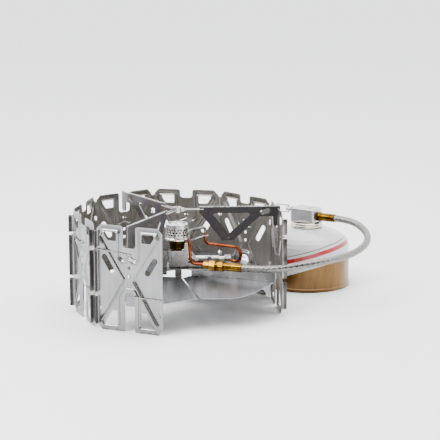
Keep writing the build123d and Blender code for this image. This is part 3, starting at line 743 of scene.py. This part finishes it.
def panel_mesh(hinged_sides, floor):
    """A stamped panel, with tabs and flanges along the sides that carry a hinge."""
    emboss = panel_emboss()
    if signed_area(emboss) < 0:
        emboss = emboss[::-1]

    def height(points):
        gap = distance_to(points, emboss) * np.where(inside(points, emboss), 1, -1)
        share = np.clip(gap / EMBOSS_SLOPE + 0.5, 0, 1)
        groove = GROOVE_DEPTH * np.exp(-((gap - GROOVE_IN) / GROOVE_HALF) ** 2)
        return EMBOSS_MIDDLE - EMBOSS * (1 - share * share * (3 - 2 * share)) - groove

    offsets = [part * EMBOSS_SLOPE / 2 for part in (1, 0.4, -0.4, -1)]
    offsets += [-GROOVE_IN + part * GROOVE_HALF for part in (0.7, 0, -0.7, -1.5)]
    lines = [grown(emboss, offset) for offset in offsets]
    points, faces = stamped_sheet(panel_outline(hinged_sides, floor), panel_holes(), lines, height, 2.4)
    points, faces = drop_loose(points, faces)
    for low, high in FLANGE_STRIPS:
        for side in hinged_sides:
            more, more_faces = flange_strip(low, high, side)
            first = len(points)
            points += more
            faces += [tuple(first + i for i in face) for face in more_faces]
    mesh = new_mesh("screen_panel", points, faces, 40)
    mesh.materials.append(MATERIALS["screen"])
    return mesh


headings = [FIRST_HEADING]
for turn in TURNS:
    headings.append(headings[-1] - turn)
hinge_points = [Vector((*FREE_EDGE, 0))]
for heading in headings:
    along = Vector((math.cos(math.radians(heading)), math.sin(math.radians(heading)), 0))
    hinge_points.append(hinge_points[-1] + along * HINGE_PITCH)


def panel_matrix(index):
    """X to the right as seen from outside, Y up, Z outwards, in millimetres from the middle of the foot."""
    along = (hinge_points[index + 1] - hinge_points[index]).normalized()
    middle = (hinge_points[index] + hinge_points[index + 1]) / 2
    columns = Matrix((-along, Vector((0, 0, 1)), Vector((-along.y, along.x, 0)))).transposed()
    return Matrix.Translation(middle * MM) @ columns.to_4x4()


front_mesh = panel_mesh((-1,), ARM_NOTCH_FLOOR)
arm_mesh = panel_mesh((-1, 1), ARM_NOTCH_FLOOR)
plain_mesh = panel_mesh((-1, 1), NOTCH_FLOOR)
for index, (name, body) in enumerate(PANELS.items()):
    mesh = arm_mesh if index in ARM_PANELS else plain_mesh
    piece = new_object("stamped_" + name, front_mesh if index == 0 else mesh.copy())
    piece.matrix_world = panel_matrix(index)
    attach(piece, body)
    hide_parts(name)


# ---------------------------------------------------------------- wires
def smooth_path(points, bend):
    """Points along straight runs whose corners are rounded to the same radius, all in millimetres."""
    path = [points[0]]
    for before, here, after in zip(points, points[1:], points[2:]):
        first, second = (before - here).normalized(), (after - here).normalized()
        half = first.angle(second) / 2
        reach = min(bend / math.tan(half), (before - here).length * 0.45, (after - here).length * 0.45)
        start, end = here + first * reach, here + second * reach
        for part in range(7):
            t = part / 6
            path.append(start * (1 - t) ** 2 + here * 2 * t * (1 - t) + end * t * t)
    path.append(points[-1])
    return path


def tube(path, radius):
    """Points and faces of a round tube along a path, with closed ends."""
    sides = 10
    points, faces = [], []
    across = Vector((0, 0, 1))
    for index, here in enumerate(path):
        before, after = path[max(0, index - 1)], path[min(len(path) - 1, index + 1)]
        way = (after - before).normalized()
        across = across - way * across.dot(way)
        if across.length < 1e-3:
            across = way.orthogonal()
        across.normalize()
        other = way.cross(across)
        for side in range(sides):
            turn = 2 * math.pi * side / sides
            points.append(here + (across * math.cos(turn) + other * math.sin(turn)) * radius)
    for ring in range(len(path) - 1):
        for side in range(sides):
            a, b = ring * sides + side, ring * sides + (side + 1) % sides
            faces.append((a, b, b + sides, a + sides))
    faces.append(tuple(reversed(range(sides))))
    faces.append(tuple(range((len(path) - 1) * sides, len(path) * sides)))
    return points, faces


def on_panel(index, x, y, z):
    return panel_matrix(index) @ Vector((x * MM, y * MM, z * MM)) / MM


def hinge_wire(index):
    """From the middle of the next panel's foot, round the hinge and up to the middle of this panel."""
    corner = hinge_points[index + 1]
    edge = PANEL_WIDTH / 2 + 0.8
    foot = WIRE_LOW + 0.5
    bow_out = WIRE_OUT + 0.1
    points = [
        on_panel(index + 1, 1.0, foot, -0.7),
        on_panel(index + 1, 1.0, foot, WIRE_OUT),
        on_panel(index + 1, BOW_AT, WIRE_LOW + WIRE_BOW, bow_out),
        on_panel(index + 1, edge, WIRE_LOW, WIRE_OUT),
        corner + Vector((0, 0, WIRE_LOW)),
        corner + Vector((0, 0, WIRE_HIGH)),
        on_panel(index, -edge, WIRE_HIGH, WIRE_OUT),
        on_panel(index, -BOW_AT, WIRE_HIGH - WIRE_BOW, bow_out),
        on_panel(index, -WIRE_HOLE[0], WIRE_HOLE[1], WIRE_OUT),
        on_panel(index, -WIRE_HOLE[0], WIRE_HOLE[1], -1.6),
    ]
    path = smooth_path(points, 0.9)
    first = next(i for i in range(len(path) - 1) if (path[i + 1] - path[i]).length > 30)
    steps = 16  # parts of the upright run, which is cut into short pieces
    path[first + 1:first + 1] = [path[first].lerp(path[first + 1], k / steps) for k in range(1, steps)]
    points, faces = tube(path, WIRE_R)
    return new_mesh(f"hinge_wire_{index + 1}_mesh", points, faces, 60)


for index in range(len(TURNS)):
    piece = new_object(f"bent_hinge_wire_{index + 1}", hinge_wire(index))
    paint(piece, "hinge_wire")
    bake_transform(piece)
    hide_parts(f"hinge_wire_{index + 1}")


# ---------------------------------------------------------------- hose
FITTINGS = (25.7, -16.0, 46.0, -21)  # where the row of fittings starts and its heading in degrees
VALVE = (130.0, 97.6, 71.0, -32)  # the same for the row out of the valve block


def along_row(row, distance):
    x, y, z, heading = row
    angle = math.radians(heading)
    return Vector((x + distance * math.cos(angle), y + distance * math.sin(angle), z))


HOSE_ROUTE = [
    along_row(FITTINGS, 38.6),
    along_row(FITTINGS, 58.1),
    Vector((103.0, -41.5, 48.6)),
    Vector((126.5, -37.5, 51.6)),
    Vector((148.0, -26.0, 53.0)),
    Vector((166.5, -8.5, 54.0)),
    Vector((180.0, 12.0, 56.5)),
    Vector((187.0, 33.0, 60.0)),
    Vector((185.4, 52.0, 65.0)),
    along_row(VALVE, 51.8),
    along_row(VALVE, 32.2),
]
CORE_R = HOSE_D / 2 - 0.42
BRAID_R = HOSE_D / 2 - 0.16
BRAID_ENDS = 12  # bundles of wire that turn each way
BRAID_PITCH = 30.0  # length of one full turn
BUNDLE_PROFILE = ((-1, -0.05), (-0.5, 0.04), (0, 0.06), (0.5, 0.04), (1, -0.05))  # across, and its crown
BUNDLE_SHARE = 0.82  # how much of its room each bundle fills
WEAVE = 0.13  # how far a bundle moves in and out


def hose_curve():
    curve = bpy.data.curves.new("hose_core", "CURVE")
    curve.dimensions = "3D"
    spline = curve.splines.new("NURBS")
    spline.points.add(len(HOSE_ROUTE) - 1)
    for point, place in zip(spline.points, HOSE_ROUTE):
        point.co = (*(place * MM), 1)
    spline.order_u = 3
    spline.use_endpoint_u = True
    spline.resolution_u = 24
    curve.bevel_resolution = 5
    curve.use_fill_caps = True
    return curve


def line_of(piece):
    """Evenly spaced points, in millimetres, along a curve that has no bevel yet."""
    mesh = bpy.data.meshes.new_from_object(piece)
    rough = [v.co / MM for v in mesh.vertices]
    bpy.data.meshes.remove(mesh)
    lengths = [0.0]
    for a, b in zip(rough, rough[1:]):
        lengths.append(lengths[-1] + (b - a).length)
    wanted = np.linspace(0, lengths[-1], int(lengths[-1] / 0.6))
    columns = [np.interp(wanted, lengths, [p[k] for p in rough]) for k in range(3)]
    return [Vector(p) for p in zip(*columns)], lengths[-1]


def braid_mesh(line, spacing):
    """The woven sleeve: flat bundles of wire that cross over and under each other along the line."""
    frames = []
    across = Vector((0, 0, 1))
    for index, here in enumerate(line):
        way = (line[min(len(line) - 1, index + 1)] - line[max(0, index - 1)]).normalized()
        across = (across - way * across.dot(way)).normalized()
        frames.append((here, way, across, way.cross(across)))
    points, faces = [], []
    half_width = math.pi * BRAID_R / BRAID_ENDS * BUNDLE_SHARE
    for hand in (1, -1):
        lean = math.atan2(2 * math.pi * BRAID_R, BRAID_PITCH) * hand
        for strand in range(BRAID_ENDS):
            first = len(points)
            for index, (here, way, across, other) in enumerate(frames):
                travelled = index * spacing
                turn = hand * 2 * math.pi * travelled / BRAID_PITCH + 2 * math.pi * strand / BRAID_ENDS
                weave = math.sin(BRAID_ENDS * 2 * math.pi * travelled / BRAID_PITCH + math.pi * strand)
                radius = BRAID_R + hand * WEAVE * weave
                for sideways, crown in BUNDLE_PROFILE:
                    angle = turn + sideways * half_width * math.cos(lean) / BRAID_R
                    slide = -sideways * half_width * math.sin(lean)
                    out = across * math.cos(angle) + other * math.sin(angle)
                    points.append(here + way * slide + out * (radius + crown))
            size = len(BUNDLE_PROFILE)
            for ring in range(len(frames) - 1):
                for k in range(size - 1):
                    a = first + ring * size + k
                    faces.append((a, a + size, a + size + 1, a + 1))
    return new_mesh("hose_braid_mesh", points, faces, 60)


hose = new_object("hose_tube", hose_curve())
hose_line, hose_length = line_of(hose)
hose.data.bevel_depth = CORE_R * MM
paint(hose, "core")
braid = new_object("hose_braid", braid_mesh(hose_line, hose_length / (len(hose_line) - 1)))
paint(braid, "braid")
for piece in (hose, braid):
    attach(piece, "stove_base")
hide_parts("hose")


# ---------------------------------------------------------------- floor and light
DARK_SIDE = (0.10, -0.97, 0.20)  # the way to the middle of the room's dark side
LIT_MIDDLE = Vector((0.04, 0.02, 0.05))  # what the lamps point at


def make_floor():
    reach = 9.0
    mesh = bpy.data.meshes.new("floor")
    corners = [(-reach, -reach, 0), (reach, -reach, 0), (reach, reach, 0), (-reach, reach, 0)]
    mesh.from_pydata(corners, [], [(0, 1, 2, 3)])
    floor = new_object("floor", mesh)
    s = Shader("floor_paper")
    mesh.materials.append(s.finish((0.92, 0.92, 0.92, 1), 0.9))


def make_light(name, place, size, power, colour=(1, 1, 1)):
    data = bpy.data.lights.new(name, "AREA")
    data.shape = "RECTANGLE"
    data.size, data.size_y = size
    data.energy = power
    data.color = colour
    lamp = new_object(name, data)
    lamp.location = place
    lamp.rotation_euler = (LIT_MIDDLE - lamp.location).to_track_quat("-Z", "Y").to_euler()


def make_world():
    """A pale room that is darker behind the camera, as a studio is."""
    world = bpy.data.worlds.new("studio")
    bpy.context.scene.world = world
    world.use_nodes = True
    tree = world.node_tree
    background = tree.nodes["Background"]
    where = tree.nodes.new("ShaderNodeTexCoord")
    facing = tree.nodes.new("ShaderNodeVectorMath")
    facing.operation = "DOT_PRODUCT"
    facing.inputs[1].default_value = DARK_SIDE
    tree.links.new(where.outputs["Generated"], facing.inputs[0])
    ramp = tree.nodes.new("ShaderNodeValToRGB")
    ramp.color_ramp.elements[0].position = 0.35
    ramp.color_ramp.elements[0].color = (0.97, 0.98, 1.0, 1)
    ramp.color_ramp.elements[1].position = 0.85
    ramp.color_ramp.elements[1].color = (0.07, 0.065, 0.06, 1)
    tree.links.new(facing.outputs["Value"], ramp.inputs["Fac"])
    tree.links.new(ramp.outputs["Color"], background.inputs["Color"])
    background.inputs["Strength"].default_value = 3.2


make_floor()
make_world()
make_light("key", (-0.7, -0.6, 1.1), (0.7, 0.5), 22)
make_light("top", (0.2, 0.3, 1.4), (1.2, 1.0), 14)
